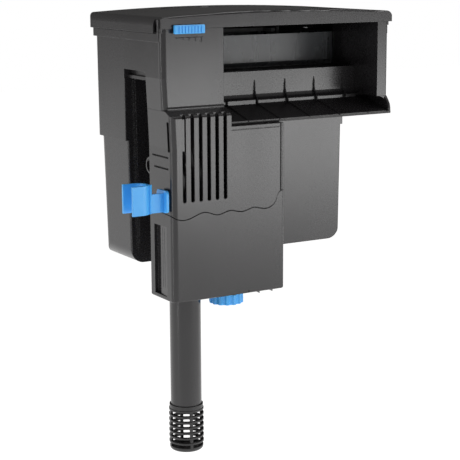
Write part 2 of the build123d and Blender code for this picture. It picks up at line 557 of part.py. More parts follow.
# ------------------------------------------------------------ water passages
with BuildPart() as riser_tube:
    with BuildLine():
        riser_path = FilletPolyline((-53.0, riser_y, riser_z), (riser_x, riser_y, riser_z), (riser_x, riser_y, -88.0),
                                    (upper_x, riser_y, -62.0), (upper_x, riser_y, 3.2), radius=9.0)
    with BuildSketch(Plane(origin=(-53.0, riser_y, riser_z), z_dir=(-1, 0, 0))):
        Circle(riser_r)
        Circle(riser_ri, mode=Mode.SUBTRACT)
    sweep(path=riser_path)
riser_tube.part.label = "riser_tube"
export_step(riser_tube.part, "parts/riser_tube.step")

with BuildPart() as crossover_duct:
    with BuildLine():
        cross_path = FilletPolyline((upper_x, riser_y, 5.6), (upper_x, riser_y, 24.0), (down_x, down_y, 24.0),
                                    (down_x, down_y, down_z), radius=10.0)
    with BuildSketch(Plane(origin=(upper_x, riser_y, 5.6), z_dir=(0, 0, 1))):
        Circle(riser_r)
        Circle(riser_ri, mode=Mode.SUBTRACT)
    sweep(path=cross_path)
crossover_duct.part.label = "crossover_duct"
export_step(crossover_duct.part, "parts/crossover_duct.step")

# ---------------------------------------------------------------------- pump
with BuildPart() as motor_housing:
    rod(px, py, -150.0, -98.0, 17.0)
    fillet(motor_housing.edges().sort_by(Axis.Z)[-1], 3.0)
    rod(px, py, -151, -101.0, 15.4, Mode.SUBTRACT)
    rod(px, py, -150.0, -100.0, 7.4)
    rod(px, py, -151, -103.0, 6.3, Mode.SUBTRACT)
    rod(px + 9.0, py + 4.0, -99.0, -90.0, 4.2)
    block(px - 8, px + 8, py + 15.6, hy1 - wall - 1.62, -108.0, -101.2)
    rod(px, py, -151, -103.0, 6.3, Mode.SUBTRACT)
motor_housing.part.label = "motor_housing"
export_step(motor_housing.part, "parts/motor_housing.step")

with BuildPart() as cord_gland:
    rod(px + 9.0, py + 4.0, -90.0, -82.0, 4.2)
    fillet(cord_gland.edges().sort_by(Axis.Z)[-1], 1.2)
    rod(px + 9.0, py + 4.0, -88.0, -80.0, 2.6, Mode.SUBTRACT)
cord_gland.part.label = "cord_gland"
export_step(cord_gland.part, "parts/cord_gland.step")

with BuildPart() as stator_core:
    rod(px, py, -144.0, -101.0, 15.35)
    rod(px, py, -145.0, -100.0, 7.45, Mode.SUBTRACT)
stator_core.part.label = "stator_core"
export_step(stator_core.part, "parts/stator_core.step")

with BuildPart() as ceramic_shaft:
    rod(px, py, -172.0, -104.2, 1.5)
ceramic_shaft.part.label = "ceramic_shaft"
export_step(ceramic_shaft.part, "parts/ceramic_shaft.step")

with BuildPart() as rear_shaft_bush:
    rod(px, py, -106.2, -103.0, 6.3)
    rod(px, py, -107.0, -104.2, 1.5, Mode.SUBTRACT)
rear_shaft_bush.part.label = "rear_shaft_bush"
export_step(rear_shaft_bush.part, "parts/rear_shaft_bush.step")

with BuildPart() as rotor_magnet:
    rod(px, py, -147.0, -108.0, 5.5)
    rod(px, py, -148.0, -107.0, 1.56, Mode.SUBTRACT)
rotor_magnet.part.label = "rotor_magnet"
export_step(rotor_magnet.part, "parts/rotor_magnet.step")

with BuildPart() as impeller:
    rod(px, py, -165.0, -147.0, 4.0)
    rod(px, py, -157.0, -155.6, 12.5)
    with BuildSketch(Plane.XY.offset(-165.0)):
        with Locations((px, py)):
            with PolarLocations(8.0, 6):
                Rectangle(9.0, 1.2, rotation=18)
    extrude(amount=8.2)
    rod(px, py, -166.0, -146.0, 1.56, Mode.SUBTRACT)
impeller.part.label = "impeller"
export_step(impeller.part, "parts/impeller.step")

with BuildPart() as volute:
    rod(px, py, -168.0, -150.0, 17.6)
    with Locations(Location(((-53.0 + px) / 2, riser_y, riser_z), (0, 90, 0))):
        Cylinder(riser_r, px + 53.0)
    rod(px, py, -169.0, -152.4, 14.6, Mode.SUBTRACT)
    rod(px, py, -153.0, -149.0, 6.3, Mode.SUBTRACT)
    with Locations(Location(((-54.0 + px) / 2, riser_y, riser_z), (0, 90, 0))):
        Cylinder(riser_ri, px + 54.0, mode=Mode.SUBTRACT)
    block(px - 30, px + 30, py - 30, hy1 + 5, -190, -168.0, Mode.SUBTRACT)
volute.part.label = "volute"
export_step(volute.part, "parts/volute.step")

with BuildPart() as pump_o_ring:
    rod(px, py, -168.0, -166.9, 14.55)
    rod(px, py, -169.0, -166.0, 13.4, Mode.SUBTRACT)
pump_o_ring.part.label = "pump_o_ring"
export_step(pump_o_ring.part, "parts/pump_o_ring.step")

with BuildPart() as volute_cover:
    rod(px, py, -170.4, -168.0, 17.6)
    rod(px, py, -175.0, -170.3, 9.6)
    rod(px, py, -176.0, -167.0, 7.8, Mode.SUBTRACT)
    rod(px, py, -173.4, -168.0, 3.6)
    block(px - 8.2, px + 8.2, py - 0.9, py + 0.9, -173.4, -168.4)
    block(px - 0.9, px + 0.9, py - 8.2, py + 8.2, -173.4, -168.4)
    rod(px, py, -175.0, -167.0, 2.7, Mode.SUBTRACT)
volute_cover.part.label = "volute_cover"
export_step(volute_cover.part, "parts/volute_cover.step")

with BuildPart() as front_shaft_bush:
    rod(px, py, -173.4, -168.0, 2.7)
    rod(px, py, -172.0, -167.0, 1.5, Mode.SUBTRACT)
front_shaft_bush.part.label = "front_shaft_bush"
export_step(front_shaft_bush.part, "parts/front_shaft_bush.step")

# ---------------------------------------------------------- intake and valve
with BuildPart() as intake_tube:
    rod(tube_x, tube_y, tube_end, tube_top, tube_r)
    rod(tube_x, tube_y, tube_end - 1, tube_top + 1, tube_ri, Mode.SUBTRACT)
    chamfer(intake_tube.edges().filter_by(GeomType.CIRCLE).sort_by(Axis.Z)[-1:], 0.4)
intake_tube.part.label = "intake_tube"
export_step(intake_tube.part, "parts/intake_tube.step")

with BuildPart() as tube_seal_ring:
    rod(tube_x, tube_y, house_bottom + 0.4, -186.0, 16.15)
    rod(tube_x, tube_y, house_bottom - 1, -185.0, tube_r + 0.06, Mode.SUBTRACT)
tube_seal_ring.part.label = "tube_seal_ring"
export_step(tube_seal_ring.part, "parts/tube_seal_ring.step")

with BuildPart() as strainer:
    rod(tube_x, tube_y, strainer_end, strainer_top, strainer_r)
    fillet(strainer.edges().sort_by(Axis.Z)[0], 3.0)
    rod(tube_x, tube_y, tube_end, strainer_top + 1, tube_r + 0.05, Mode.SUBTRACT)
    rod(tube_x, tube_y, strainer_end + 2.2, tube_end + 0.1, strainer_r - 2.0, Mode.SUBTRACT)
    # rings of slots between four upright ribs
    for k in range(7):
        z = -297.6 - 5.05 * k
        with BuildSketch(Plane.XY.offset(z - 1.5)):
            with Locations((tube_x, tube_y)):
                Circle(strainer_r + 1)
                Circle(strainer_r - 3, mode=Mode.SUBTRACT)
                with PolarLocations(0, 4, start_angle=-10.8):
                    Rectangle(2 * strainer_r + 6, 2.6, align=(Align.MIN, Align.CENTER), mode=Mode.SUBTRACT)
        extrude(amount=3.0, mode=Mode.SUBTRACT)
        # the rings between the slots stand slightly proud
        rod(tube_x, tube_y, z + 1.7, z + 3.3, strainer_r + 0.5)
        rod(tube_x, tube_y, z + 1.6, z + 3.4, strainer_r - 1.0 if k else tube_r + 0.05, Mode.SUBTRACT)
strainer.part.label = "strainer"
export_step(strainer.part, "parts/strainer.step")

with BuildPart() as intake_selector_dial:
    rod(dial_x, dial_y, -201.7, -192.4, dial_r)
    with BuildSketch(Plane.XY.offset(-203.0)):
        with Locations((dial_x, dial_y)):
            with PolarLocations(dial_r + 1.1, 14):
                Circle(2.5)
    extrude(amount=11.0, mode=Mode.SUBTRACT)
    chamfer(intake_selector_dial.edges().group_by(Axis.Z)[0], 0.5)
    # pointer
    block(dial_x - dial_r - 3.2, dial_x - dial_r + 4.0, dial_y - 1.6, dial_y + 1.6, -195.4, -192.4)
    # stem up through the housing's bottom
    rod(dial_x, dial_y, -192.5, -186.0, 3.0)
intake_selector_dial.part.label = "intake_selector_dial"
export_step(intake_selector_dial.part, "parts/intake_selector_dial.step")

with BuildPart() as mixing_drum:
    rod(dial_x, dial_y, -188.4, -176.5, 9.8)
    rod(dial_x, dial_y, -186.0, -176.0, 8.2, Mode.SUBTRACT)
    rod(dial_x, dial_y, -189.0, -186.0, 3.0, Mode.SUBTRACT)
    block(dial_x - 12, dial_x, dial_y - 5, dial_y + 5, -185.0, -178.2, Mode.SUBTRACT)
mixing_drum.part.label = "mixing_drum"
export_step(mixing_drum.part, "parts/mixing_drum.step")

with BuildPart() as valve_sleeve:
    rod(dial_x, dial_y, house_bottom + wall, -177.0, 11.8)
    rod(dial_x, dial_y, house_bottom, -176.0, 10.1, Mode.SUBTRACT)
    block(dial_x - 14, dial_x, dial_y - 5, dial_y + 5, -185.0, -178.2, Mode.SUBTRACT)
    block(dial_x - 5, dial_x + 5, dial_y, dial_y + 14, -185.0, -178.2, Mode.SUBTRACT)
valve_sleeve.part.label = "valve_sleeve"
export_step(valve_sleeve.part, "parts/valve_sleeve.step")

# --------------------------------------------------------------- heater clip
clip_cx, clip_cy, clip_z0, clip_z1 = -144.0, -52.8, -111.0, -85.6
clip_ri, clip_t, clip_tip = 8.0, 2.4, -153.4
with BuildPart() as heater_clip:
    with BuildSketch(Plane.XY.offset(clip_z0)):
        with Locations((clip_cx, clip_cy)):
            Circle(clip_ri + clip_t)
        with Locations(((clip_cx + clip_tip) / 2, clip_cy)):
            Rectangle(clip_cx - clip_tip, 2 * (clip_ri + clip_t))
        with Locations((clip_cx, clip_cy)):
            Circle(clip_ri, mode=Mode.SUBTRACT)
        with Locations(((clip_cx + clip_tip) / 2 - 1, clip_cy)):
            Rectangle(clip_cx - clip_tip + 2, 2 * clip_ri, mode=Mode.SUBTRACT)
        # small spur where the plate joins the jaw
        with Locations((clip_cx + 9.4, clip_cy - 5.4)):
            Rectangle(3.4, 2.4, rotation=35)
    extrude(amount=clip_z1 - clip_z0)
    # plate to the flange
    block(clip_cx + 8.0, -121.2, -59.2, -56.8, clip_z0 + 0.4, -94.0)
    # flange on the housing's face
    with BuildSketch(Plane.YZ.offset(-122.0)):
        with Locations((-56.0, -101.2)):
            RectangleRounded(18.2, 19.4, 3.0)
    extrude(amount=2.4)
    # neck and catches through the wall
    block(-119.7, hx0 + wall + 2.2, -59.9, -57.6, -105.4, -96.4)
    block(-119.7, hx0 + wall + 2.2, -54.4, -52.1, -105.4, -96.4)
heater_clip.part.label = "heater_clip"
export_step(heater_clip.part, "parts/heater_clip.step")
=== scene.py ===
import bpy
import math
from mathutils import Matrix, Vector


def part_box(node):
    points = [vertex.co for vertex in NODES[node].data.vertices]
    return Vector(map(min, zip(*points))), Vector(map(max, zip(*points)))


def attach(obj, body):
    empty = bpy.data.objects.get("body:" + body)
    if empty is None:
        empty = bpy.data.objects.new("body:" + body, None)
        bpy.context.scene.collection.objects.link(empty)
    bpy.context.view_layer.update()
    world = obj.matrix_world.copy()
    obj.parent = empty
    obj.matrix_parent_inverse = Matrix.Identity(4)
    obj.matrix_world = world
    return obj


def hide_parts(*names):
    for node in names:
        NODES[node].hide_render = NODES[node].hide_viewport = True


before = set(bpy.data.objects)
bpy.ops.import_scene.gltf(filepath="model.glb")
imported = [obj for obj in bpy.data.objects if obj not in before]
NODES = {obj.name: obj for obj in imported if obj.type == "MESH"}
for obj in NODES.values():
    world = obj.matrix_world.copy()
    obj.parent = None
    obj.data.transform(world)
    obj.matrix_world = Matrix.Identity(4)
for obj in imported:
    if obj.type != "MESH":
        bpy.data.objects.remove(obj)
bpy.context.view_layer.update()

scene = bpy.context.scene
MM = 0.001


# ------------------------------------------------------------------ camera
def make_camera():
    yaw, pitch, roll = math.radians(30.708), math.radians(11.158), math.radians(-0.294)
    fwd = Vector((math.sin(yaw) * math.cos(pitch), math.cos(yaw) * math.cos(pitch), -math.sin(pitch)))
    right = Vector((math.cos(yaw), -math.sin(yaw), 0.0))
    up = right.cross(fwd)
    r2 = right * math.cos(roll) + up * math.sin(roll)
    u2 = up * math.cos(roll) - right * math.sin(roll)
    data = bpy.data.cameras.new("studio_camera")
    data.lens = 109.61
    data.sensor_width = 36.0
    data.clip_start, data.clip_end = 0.05, 30.0
    cam = bpy.data.objects.new("studio_camera", data)
    m = Matrix((r2, u2, -fwd)).transposed().to_4x4()
    m.translation = Vector((-0.68147, -1.11367, 0.10868))
    cam.matrix_world = m
    scene.collection.objects.link(cam)
    scene.camera = cam


make_camera()


# --------------------------------------------------------------- materials
class Graph:
    """A small helper for building a material's node tree."""

    def __init__(self, name):
        self.mat = bpy.data.materials.new(name)
        self.mat.use_nodes = True
        self.nt = self.mat.node_tree
        self.nt.nodes.clear()
        self.out = self.nt.nodes.new("ShaderNodeOutputMaterial")
        self.bsdf = self.nt.nodes.new("ShaderNodeBsdfPrincipled")
        self.nt.links.new(self.bsdf.outputs[0], self.out.inputs[0])
        self.coord = self.nt.nodes.new("ShaderNodeTexCoord").outputs["Object"]

    def node(self, kind, **props):
        n = self.nt.nodes.new(kind)
        for k, v in props.items():
            setattr(n, k, v)
        return n

    def link(self, a, b):
        self.nt.links.new(a, b)

    def noise(self, scale, detail=3.0, rough=0.5, stretch=None):
        n = self.node("ShaderNodeTexNoise")
        n.inputs["Scale"].default_value = scale
        n.inputs["Detail"].default_value = detail
        n.inputs["Roughness"].default_value = rough
        src = self.coord
        if stretch:
            mp = self.node("ShaderNodeMapping")
            mp.inputs["Scale"].default_value = stretch
            self.link(self.coord, mp.inputs["Vector"])
            src = mp.outputs[0]
        self.link(src, n.inputs["Vector"])
        return n.outputs["Fac"]

    def voronoi(self, scale, feature="F1", stretch=None):
        n = self.node("ShaderNodeTexVoronoi", feature=feature)
        n.inputs["Scale"].default_value = scale
        src = self.coord
        if stretch:
            mp = self.node("ShaderNodeMapping")
            mp.inputs["Scale"].default_value = stretch
            self.link(self.coord, mp.inputs["Vector"])
            src = mp.outputs[0]
        self.link(src, n.inputs["Vector"])
        return n.outputs["Distance"]

    def ramp(self, fac, stops):
        n = self.node("ShaderNodeValToRGB")
        el = n.color_ramp.elements
        while len(el) > 1:
            el.remove(el[-1])
        el[0].position, el[0].color = stops[0][0], (*stops[0][1], 1.0)
        for p, c in stops[1:]:
            e = el.new(p)
            e.color = (*c, 1.0)
        self.link(fac, n.inputs["Fac"])
        return n.outputs["Color"]

    def rng(self, fac, a, b, c, d):
        n = self.node("ShaderNodeMapRange")
        for i, v in enumerate((a, b, c, d), start=1):
            n.inputs[i].default_value = v
        self.link(fac, n.inputs[0])
        return n.outputs[0]

    def math(self, op, a, b):
        n = self.node("ShaderNodeMath", operation=op)
        for i, v in enumerate((a, b)):
            if isinstance(v, (int, float)):
                n.inputs[i].default_value = v
            else:
                self.link(v, n.inputs[i])
        return n.outputs[0]

    def mix(self, fac, a, b, blend="MIX"):
        n = self.node("ShaderNodeMix", data_type="RGBA", blend_type=blend)
        self.link(fac, n.inputs[0]) if not isinstance(fac, (int, float)) else setattr(n.inputs[0], "default_value", fac)
        for sock, v in ((n.inputs[6], a), (n.inputs[7], b)):
            if isinstance(v, tuple):
                sock.default_value = (*v, 1.0)
            else:
                self.link(v, sock)
        return n.outputs[2]

    def soft_edges(self, radius):
        """Moulded edges are never razor sharp: a small rounding of the normal."""
        n = self.node("ShaderNodeBevel", samples=4)
        n.inputs["Radius"].default_value = radius
        return n.outputs["Normal"]

    def bump(self, height, distance, strength=1.0, after=None):
        n = self.node("ShaderNodeBump")
        n.inputs["Strength"].default_value = strength
        n.inputs["Distance"].default_value = distance
        self.link(height, n.inputs["Height"])
        if after is not None:
            self.link(after, n.inputs["Normal"])
        return n.outputs["Normal"]


def moulded_black(name, tone=1.0, rough=0.25, grain=0.000004, edge=0.0005):
    """Satin black ABS: fine spark texture, faint flow marks, dust and softly rounded edges."""
    g = Graph(name)
    cloud = g.noise(14.0, 4.0, 0.55)
    flow = g.noise(9.0, 2.0, 0.5, stretch=(1.0, 1.0, 0.25))
    dust = g.noise(900.0, 2.0, 0.7)
    base = g.ramp(cloud, [(0.25, (0.0130 * tone, 0.0122 * tone, 0.0134 * tone)),
                          (0.75, (0.0195 * tone, 0.0182 * tone, 0.0196 * tone))])
    speck = g.rng(dust, 0.68, 0.82, 0.0, 0.12)
    col = g.mix(speck, base, (0.060 * tone, 0.057 * tone, 0.056 * tone))
    g.link(col, g.bsdf.inputs["Base Color"])
    r = g.rng(flow, 0.3, 0.7, rough - 0.035, rough + 0.045)
    r = g.math("ADD", r, g.rng(dust, 0.35, 0.75, -0.015, 0.03))
    g.link(r, g.bsdf.inputs["Roughness"])
    fine = g.noise(2600.0, 2.0, 0.6)
    n = g.bump(fine, grain, 0.6, after=g.soft_edges(edge))
    n = g.bump(g.noise(28.0, 2.0, 0.5), 0.00012, 0.35, after=n)
    g.link(n, g.bsdf.inputs["Normal"])
    g.bsdf.inputs["IOR"].default_value = 1.53
    g.bsdf.inputs["Specular IOR Level"].default_value = 0.55
    return g.mat


def moulded_blue(name):
    """Bright blue moulded plastic with a slight translucence."""
    g = Graph(name)
    cloud = g.noise(40.0, 3.0, 0.5)
    base = g.ramp(cloud, [(0.3, (0.065, 0.42, 0.93)), (0.7, (0.080, 0.455, 0.96))])
    g.link(base, g.bsdf.inputs["Base Color"])
    g.link(g.rng(g.noise(120.0, 3.0, 0.6), 0.3, 0.7, 0.30, 0.40), g.bsdf.inputs["Roughness"])
    g.link(g.bump(g.noise(1800.0, 2.0, 0.6), 0.00001, 0.6, after=g.soft_edges(0.0004)), g.bsdf.inputs["Normal"])
    g.bsdf.inputs["Subsurface Weight"].default_value = 0.15
    g.bsdf.inputs["Subsurface Radius"].default_value = (0.0008, 0.0012, 0.002)
    g.bsdf.inputs["Subsurface Scale"].default_value = 1.0
    g.bsdf.inputs["IOR"].default_value = 1.5
    return g.mat


def smoky(name):
    """Smoky translucent polycarbonate, a little hazy."""
    g = Graph(name)
    haze = g.noise(30.0, 3.0, 0.5, stretch=(1.0, 1.0, 0.2))
    base = g.ramp(haze, [(0.3, (0.13, 0.137, 0.145)), (0.7, (0.19, 0.197, 0.207))])
    g.link(base, g.bsdf.inputs["Base Color"])
    g.link(g.rng(haze, 0.3, 0.7, 0.22, 0.34), g.bsdf.inputs["Roughness"])
    g.link(g.bump(g.noise(1500.0, 2.0, 0.6), 0.00001, 0.5), g.bsdf.inputs["Normal"])
    g.bsdf.inputs["Transmission Weight"].default_value = 0.45
    g.bsdf.inputs["IOR"].default_value = 1.45
    return g.mat


def plain_plastic(name, a, b, rough=0.42, scale=30.0):
    g = Graph(name)
    g.link(g.ramp(g.noise(scale, 3.0, 0.5), [(0.3, a), (0.7, b)]), g.bsdf.inputs["Base Color"])
    g.link(g.rng(g.noise(scale * 6, 3.0, 0.6), 0.3, 0.7, rough - 0.05, rough + 0.07), g.bsdf.inputs["Roughness"])
    g.link(g.bump(g.noise(2200.0, 2.0, 0.6), 0.000012, 0.6), g.bsdf.inputs["Normal"])
    return g.mat


def cellular(name, a, b, scale, depth):
    """Open-cell foam or a granular fill, with painted shade in the hollows of its cells."""
    g = Graph(name)
    cells = g.voronoi(scale)
    fine = g.voronoi(scale * 2.7)
    h = g.math("ADD", g.math("MULTIPLY", cells, 0.65), g.math("MULTIPLY", fine, 0.35))
    # the colour follows the bump's relief: the dents of the cells get the dark colour, a painted shade in the pores and
    # hollows
    g.link(g.ramp(h, [(0.12, a), (0.55, b)]), g.bsdf.inputs["Base Color"])
    g.bsdf.inputs["Roughness"].default_value = 0.92
    g.bsdf.inputs["Sheen Weight"].default_value = 0.2
    g.link(g.bump(h, depth, 1.0), g.bsdf.inputs["Normal"])
    return g.mat


BLACK = moulded_black("satin_black_abs")
BLACK_LID = moulded_black("satin_black_lid", tone=1.0, rough=0.24)
# a slightly darker copy of the same black plastic: painted shade that darkens the tube
BLACK_TUBE_PAINTED_SHADE = moulded_black("black_tube_painted_shade", tone=0.9, rough=0.22)
# a much darker copy of the same black plastic: painted shade for the dark inside seen through the slots
BLACK_STRAINER_PAINTED_SHADE = moulded_black("black_strainer_painted_shade", tone=0.6, rough=0.36)
BLACK_IN = moulded_black("matt_black_inner", tone=0.8, rough=0.5)
BLUE = moulded_blue("blue_plastic")
SMOKY = smoky("smoky_plastic")
GREY = plain_plastic("grey_plastic", (0.26, 0.265, 0.27), (0.34, 0.345, 0.35))
RUBBER = plain_plastic("nitrile_rubber", (0.018, 0.018, 0.018), (0.03, 0.03, 0.03), 0.65, 60.0)
CERAMIC = plain_plastic("white_ceramic", (0.80, 0.79, 0.74), (0.88, 0.87, 0.83), 0.18, 80.0)
FERRITE = plain_plastic("ferrite", (0.05, 0.05, 0.055), (0.09, 0.09, 0.095), 0.38, 120.0)
POTTED = plain_plastic("potted_core", (0.10, 0.075, 0.05), (0.17, 0.13, 0.09), 0.4, 90.0)
FOAM_C = cellular("coarse_foam", (0.006, 0.007, 0.010), (0.075, 0.085, 0.11), 420.0, 0.0016)
FOAM_F = cellular("fine_foam", (0.42, 0.43, 0.42), (0.86, 0.87, 0.85), 900.0, 0.0008)
CARBON = cellular("carbon_fill", (0.006, 0.006, 0.007), (0.07, 0.07, 0.075), 330.0, 0.0018)
BIO = cellular("ceramic_fill", (0.22, 0.20, 0.17), (0.72, 0.69, 0.62), 190.0, 0.003)

FINISH = {
    "filter_case": BLACK, "bridge_frame": BLACK, "spillway_tray": BLACK, "skimmer_shroud": BLACK,
    "intake_housing": BLACK, "lid": BLACK_LID, "intake_tube": BLACK_TUBE_PAINTED_SHADE, "strainer": BLACK_STRAINER_PAINTED_SHADE,
    "cord_gland": BLACK_IN, "flow_slider": BLUE, "intake_selector_dial": BLUE, "heater_clip": BLUE,
    "media_basket": SMOKY, "maintenance_indicator": GREY, "basket_handle": GREY, "impeller": GREY,
    "riser_tube": BLACK_IN, "crossover_duct": BLACK_IN, "motor_housing": BLACK_IN, "volute": BLACK_IN,
    "volute_cover": BLACK_IN, "flow_gate": BLACK_IN, "valve_sleeve": BLACK_IN, "mixing_drum": BLACK_IN,
    "tube_seal_ring": RUBBER, "pump_o_ring": RUBBER, "rear_shaft_bush": RUBBER, "front_shaft_bush": RUBBER,
    "ceramic_shaft": CERAMIC, "rotor_magnet": FERRITE, "stator_core": POTTED,
    "coarse_foam_pad": FOAM_C, "fine_foam_pad": FOAM_F, "carbon_cartridge": CARBON, "bio_media_bag": BIO,
}
for name, mat in FINISH.items():
    ob = NODES[name]
    ob.data.materials.clear()
    ob.data.materials.append(mat)


# ------------------------------------------------------------------- media
# The pads, the carbon and the ceramic fill are soft solids in the CAD model. Here they get their real surfaces.
import bmesh
import random
from mathutils import noise


def shell_box(lo, hi, step, corner):
    """A box of small quads with rounded upright corners, in metres."""
    bm = bmesh.new()
    size = [hi[i] - lo[i] for i in range(3)]
    cells = [max(2, int(round(size[i] / step))) for i in range(3)]
    verts = {}

    def vert(i, j, k):
        key = (i, j, k)
        if key not in verts:
            p = [lo[0] + size[0] * i / cells[0], lo[1] + size[1] * j / cells[1], lo[2] + size[2] * k / cells[2]]
            # pull the upright edges in to a rounded corner
            for sx in (0, 1):
                for sy in (0, 1):
                    cx = (lo[0] + corner) if sx == 0 else (hi[0] - corner)
                    cy = (lo[1] + corner) if sy == 0 else (hi[1] - corner)
                    dx, dy = p[0] - cx, p[1] - cy
                    if (dx < 0) == (sx == 0) and (dy < 0) == (sy == 0) and dx and dy:
                        m = max(abs(dx), abs(dy))
                        d = math.hypot(dx, dy)
                        p[0], p[1] = cx + dx * m / d, cy + dy * m / d
            verts[key] = bm.verts.new(p)
        return verts[key]

    n0, n1, n2 = cells
    for i in range(n0):
        for j in range(n1):
            bm.faces.new((vert(i, j, 0), vert(i, j + 1, 0), vert(i + 1, j + 1, 0), vert(i + 1, j, 0)))
            bm.faces.new((vert(i, j, n2), vert(i + 1, j, n2), vert(i + 1, j + 1, n2), vert(i, j + 1, n2)))
    for i in range(n0):
        for k in range(n2):
            bm.faces.new((vert(i, 0, k), vert(i + 1, 0, k), vert(i + 1, 0, k + 1), vert(i, 0, k + 1)))
            bm.faces.new((vert(i, n1, k), vert(i, n1, k + 1), vert(i + 1, n1, k + 1), vert(i + 1, n1, k)))
    for j in range(n1):
        for k in range(n2):
            bm.faces.new((vert(0, j, k), vert(0, j, k + 1), vert(0, j + 1, k + 1), vert(0, j + 1, k)))
            bm.faces.new((vert(n0, j, k), vert(n0, j + 1, k), vert(n0, j + 1, k + 1), vert(n0, j, k + 1)))
    bm.normal_update()
    return bm


def piece_from(bm, name, material, smooth=True):
    me = bpy.data.meshes.new(name)
    bm.to_mesh(me)
    bm.free()
    for f in me.polygons:
        f.use_smooth = smooth
    me.materials.append(material)
    ob = bpy.data.objects.new(name, me)
    scene.collection.objects.link(ob)
    return ob


def foam_pad(name, node, material, step, depth, cell):
    """A cut block of open-cell foam: soft edges, faces a little pulled in, pores all over."""
    lo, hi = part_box(node)
    lo = [v + 0.0003 for v in lo]
    hi = [v - 0.0003 for v in hi]
    bm = shell_box(lo, hi, step, 0.004)
    mid = [(lo[i] + hi[i]) / 2 for i in range(3)]
    half = [(hi[i] - lo[i]) / 2 for i in range(3)]
    for v in bm.verts:
        p = v.co.copy()
        q = [abs(p[i] - mid[i]) / half[i] for i in range(3)]
        # the long edges of a cut pad are slightly rounded over
        edge = sorted(q)[1]
        inset = 0.0012 * max(0.0, edge - 0.90) / 0.10
        d = noise.voronoi(p / cell)[0][0]
        pores = depth * (0.75 - min(d, 0.75)) / 0.75
        wave = 0.0006 * (0.5 + 0.5 * noise.noise(p * 45.0))
        v.co = p - v.normal * (inset + pores + wave)
    ob = piece_from(bm, name, material)
    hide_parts(node)
    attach(ob, "basket")
    return ob


def granule(rng, r):
    """One broken grain: a squashed and roughened ball."""
    bm = bmesh.new()
    bmesh.ops.create_icosphere(bm, subdivisions=2, radius=r)
    sx, sy, sz = rng.uniform(0.75, 1.0), rng.uniform(0.75, 1.0), rng.uniform(0.6, 1.0)
    seed = Vector((rng.uniform(0, 50), rng.uniform(0, 50), rng.uniform(0, 50)))
    for v in bm.verts:
        k = 1.0 + 0.22 * noise.noise(v.co / r * 1.3 + seed) - 0.11
        v.co = Vector((v.co.x * sx, v.co.y * sy, v.co.z * sz)) * k
    return bm


def ceramic_ring(rng, r):
    """A short porous ceramic tube, as used for biological media."""
    bm = bmesh.new()
    n, h = 12, r * 0.95
    rings = []
    for z, rad in ((-h, 0.92), (-h * 0.9, 1.0), (h * 0.9, 1.0), (h, 0.92), (h, 0.5), (h * 0.9, 0.42), (-h * 0.9, 0.42),
                   (-h, 0.5)):
        rings.append([bm.verts.new((r * rad * math.cos(2 * math.pi * i / n), r * rad * math.sin(2 * math.pi * i / n), z))
                      for i in range(n)])
    for a in range(len(rings)):
        b = (a + 1) % len(rings)
        for i in range(n):
            j = (i + 1) % n
            bm.faces.new((rings[a][i], rings[a][j], rings[b][j], rings[b][i]))
    bmesh.ops.recalc_face_normals(bm, faces=bm.faces)
    return bm


def packed_fill(name, node, material, maker, r, spacing, seed):
    """Grains packed against the inside of the bag, in one layer over its faces only, where they can be seen."""
    rng = random.Random(seed)
    lo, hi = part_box(node)
    m = r * 1.08 + 0.0006
    stock = [maker(rng, r) for _ in range(6)]
    meshes = []
    for k, bm in enumerate(stock):
        me = bpy.data.meshes.new(name + "_stock%d" % k)
        bm.to_mesh(me)
        bm.free()
        meshes.append(me)
    out = bmesh.new()
    counts = [max(2, int((hi[i] - lo[i] - 2 * m) / spacing)) for i in range(3)]
    steps = [(hi[i] - lo[i] - 2 * m) / counts[i] for i in range(3)]
    for i in range(counts[0] + 1):
        for j in range(counts[1] + 1):
            for k in range(counts[2] + 1):
                if 0 < i < counts[0] and 0 < j < counts[1] and 0 < k < counts[2]:
                    continue
                c = Vector((lo[0] + m + steps[0] * i, lo[1] + m + steps[1] * j, lo[2] + m + steps[2] * k))
                c += Vector([rng.uniform(-0.12, 0.12) * spacing * (1 if 0 < q < counts[a] else 0)
                             for a, q in enumerate((i, j, k))])
                corner_x, corner_y = i in (0, counts[0]), j in (0, counts[1])
                if corner_x and corner_y:
                    continue
                rot = Matrix.Rotation(rng.uniform(0, 6.28), 4, "Z") @ Matrix.Rotation(rng.uniform(0, 6.28), 4, "X")
                start = len(out.verts)
                out.from_mesh(meshes[rng.randrange(len(meshes))])
                out.verts.ensure_lookup_table()
                mat = Matrix.Translation(c) @ rot
                for v in out.verts[start:]:
                    v.co = mat @ v.co
    for me in meshes:
        bpy.data.meshes.remove(me)
    return piece_from(out, name, material)


def net_bag(name, node, material, step, thread):
    """The knitted net round a fill, pulled in a little along its edges."""
    lo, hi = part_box(node)
    bm = shell_box([v + 0.0004 for v in lo], [v - 0.0004 for v in hi], step, 0.0045)
    for v in bm.verts:
        p = v.co.copy()
        v.co = p - v.normal * (0.0003 + 0.0009 * (0.5 + 0.5 * noise.noise(p * 60.0)))
    bmesh.ops.triangulate(bm, faces=[])
    ob = piece_from(bm, name, material, smooth=False)
    w = ob.modifiers.new("threads", "WIREFRAME")
    w.thickness = thread
    w.use_even_offset = False
    w.offset = 0.0
    return ob


def fabric_thread(name, a, b):
    g = Graph(name)
    g.link(g.ramp(g.noise(400.0, 3.0, 0.6), [(0.3, a), (0.7, b)]), g.bsdf.inputs["Base Color"])
    g.bsdf.inputs["Roughness"].default_value = 0.75
    g.bsdf.inputs["Sheen Weight"].default_value = 0.3
    g.link(g.bump(g.noise(3000.0, 2.0, 0.6), 0.00003, 0.8), g.bsdf.inputs["Normal"])
    return g.mat


foam_pad("coarse_foam_surface", "coarse_foam_pad", FOAM_C, 0.0019, 0.0011, 0.0042)
foam_pad("fine_foam_surface", "fine_foam_pad", FOAM_F, 0.0016, 0.0005, 0.0024)

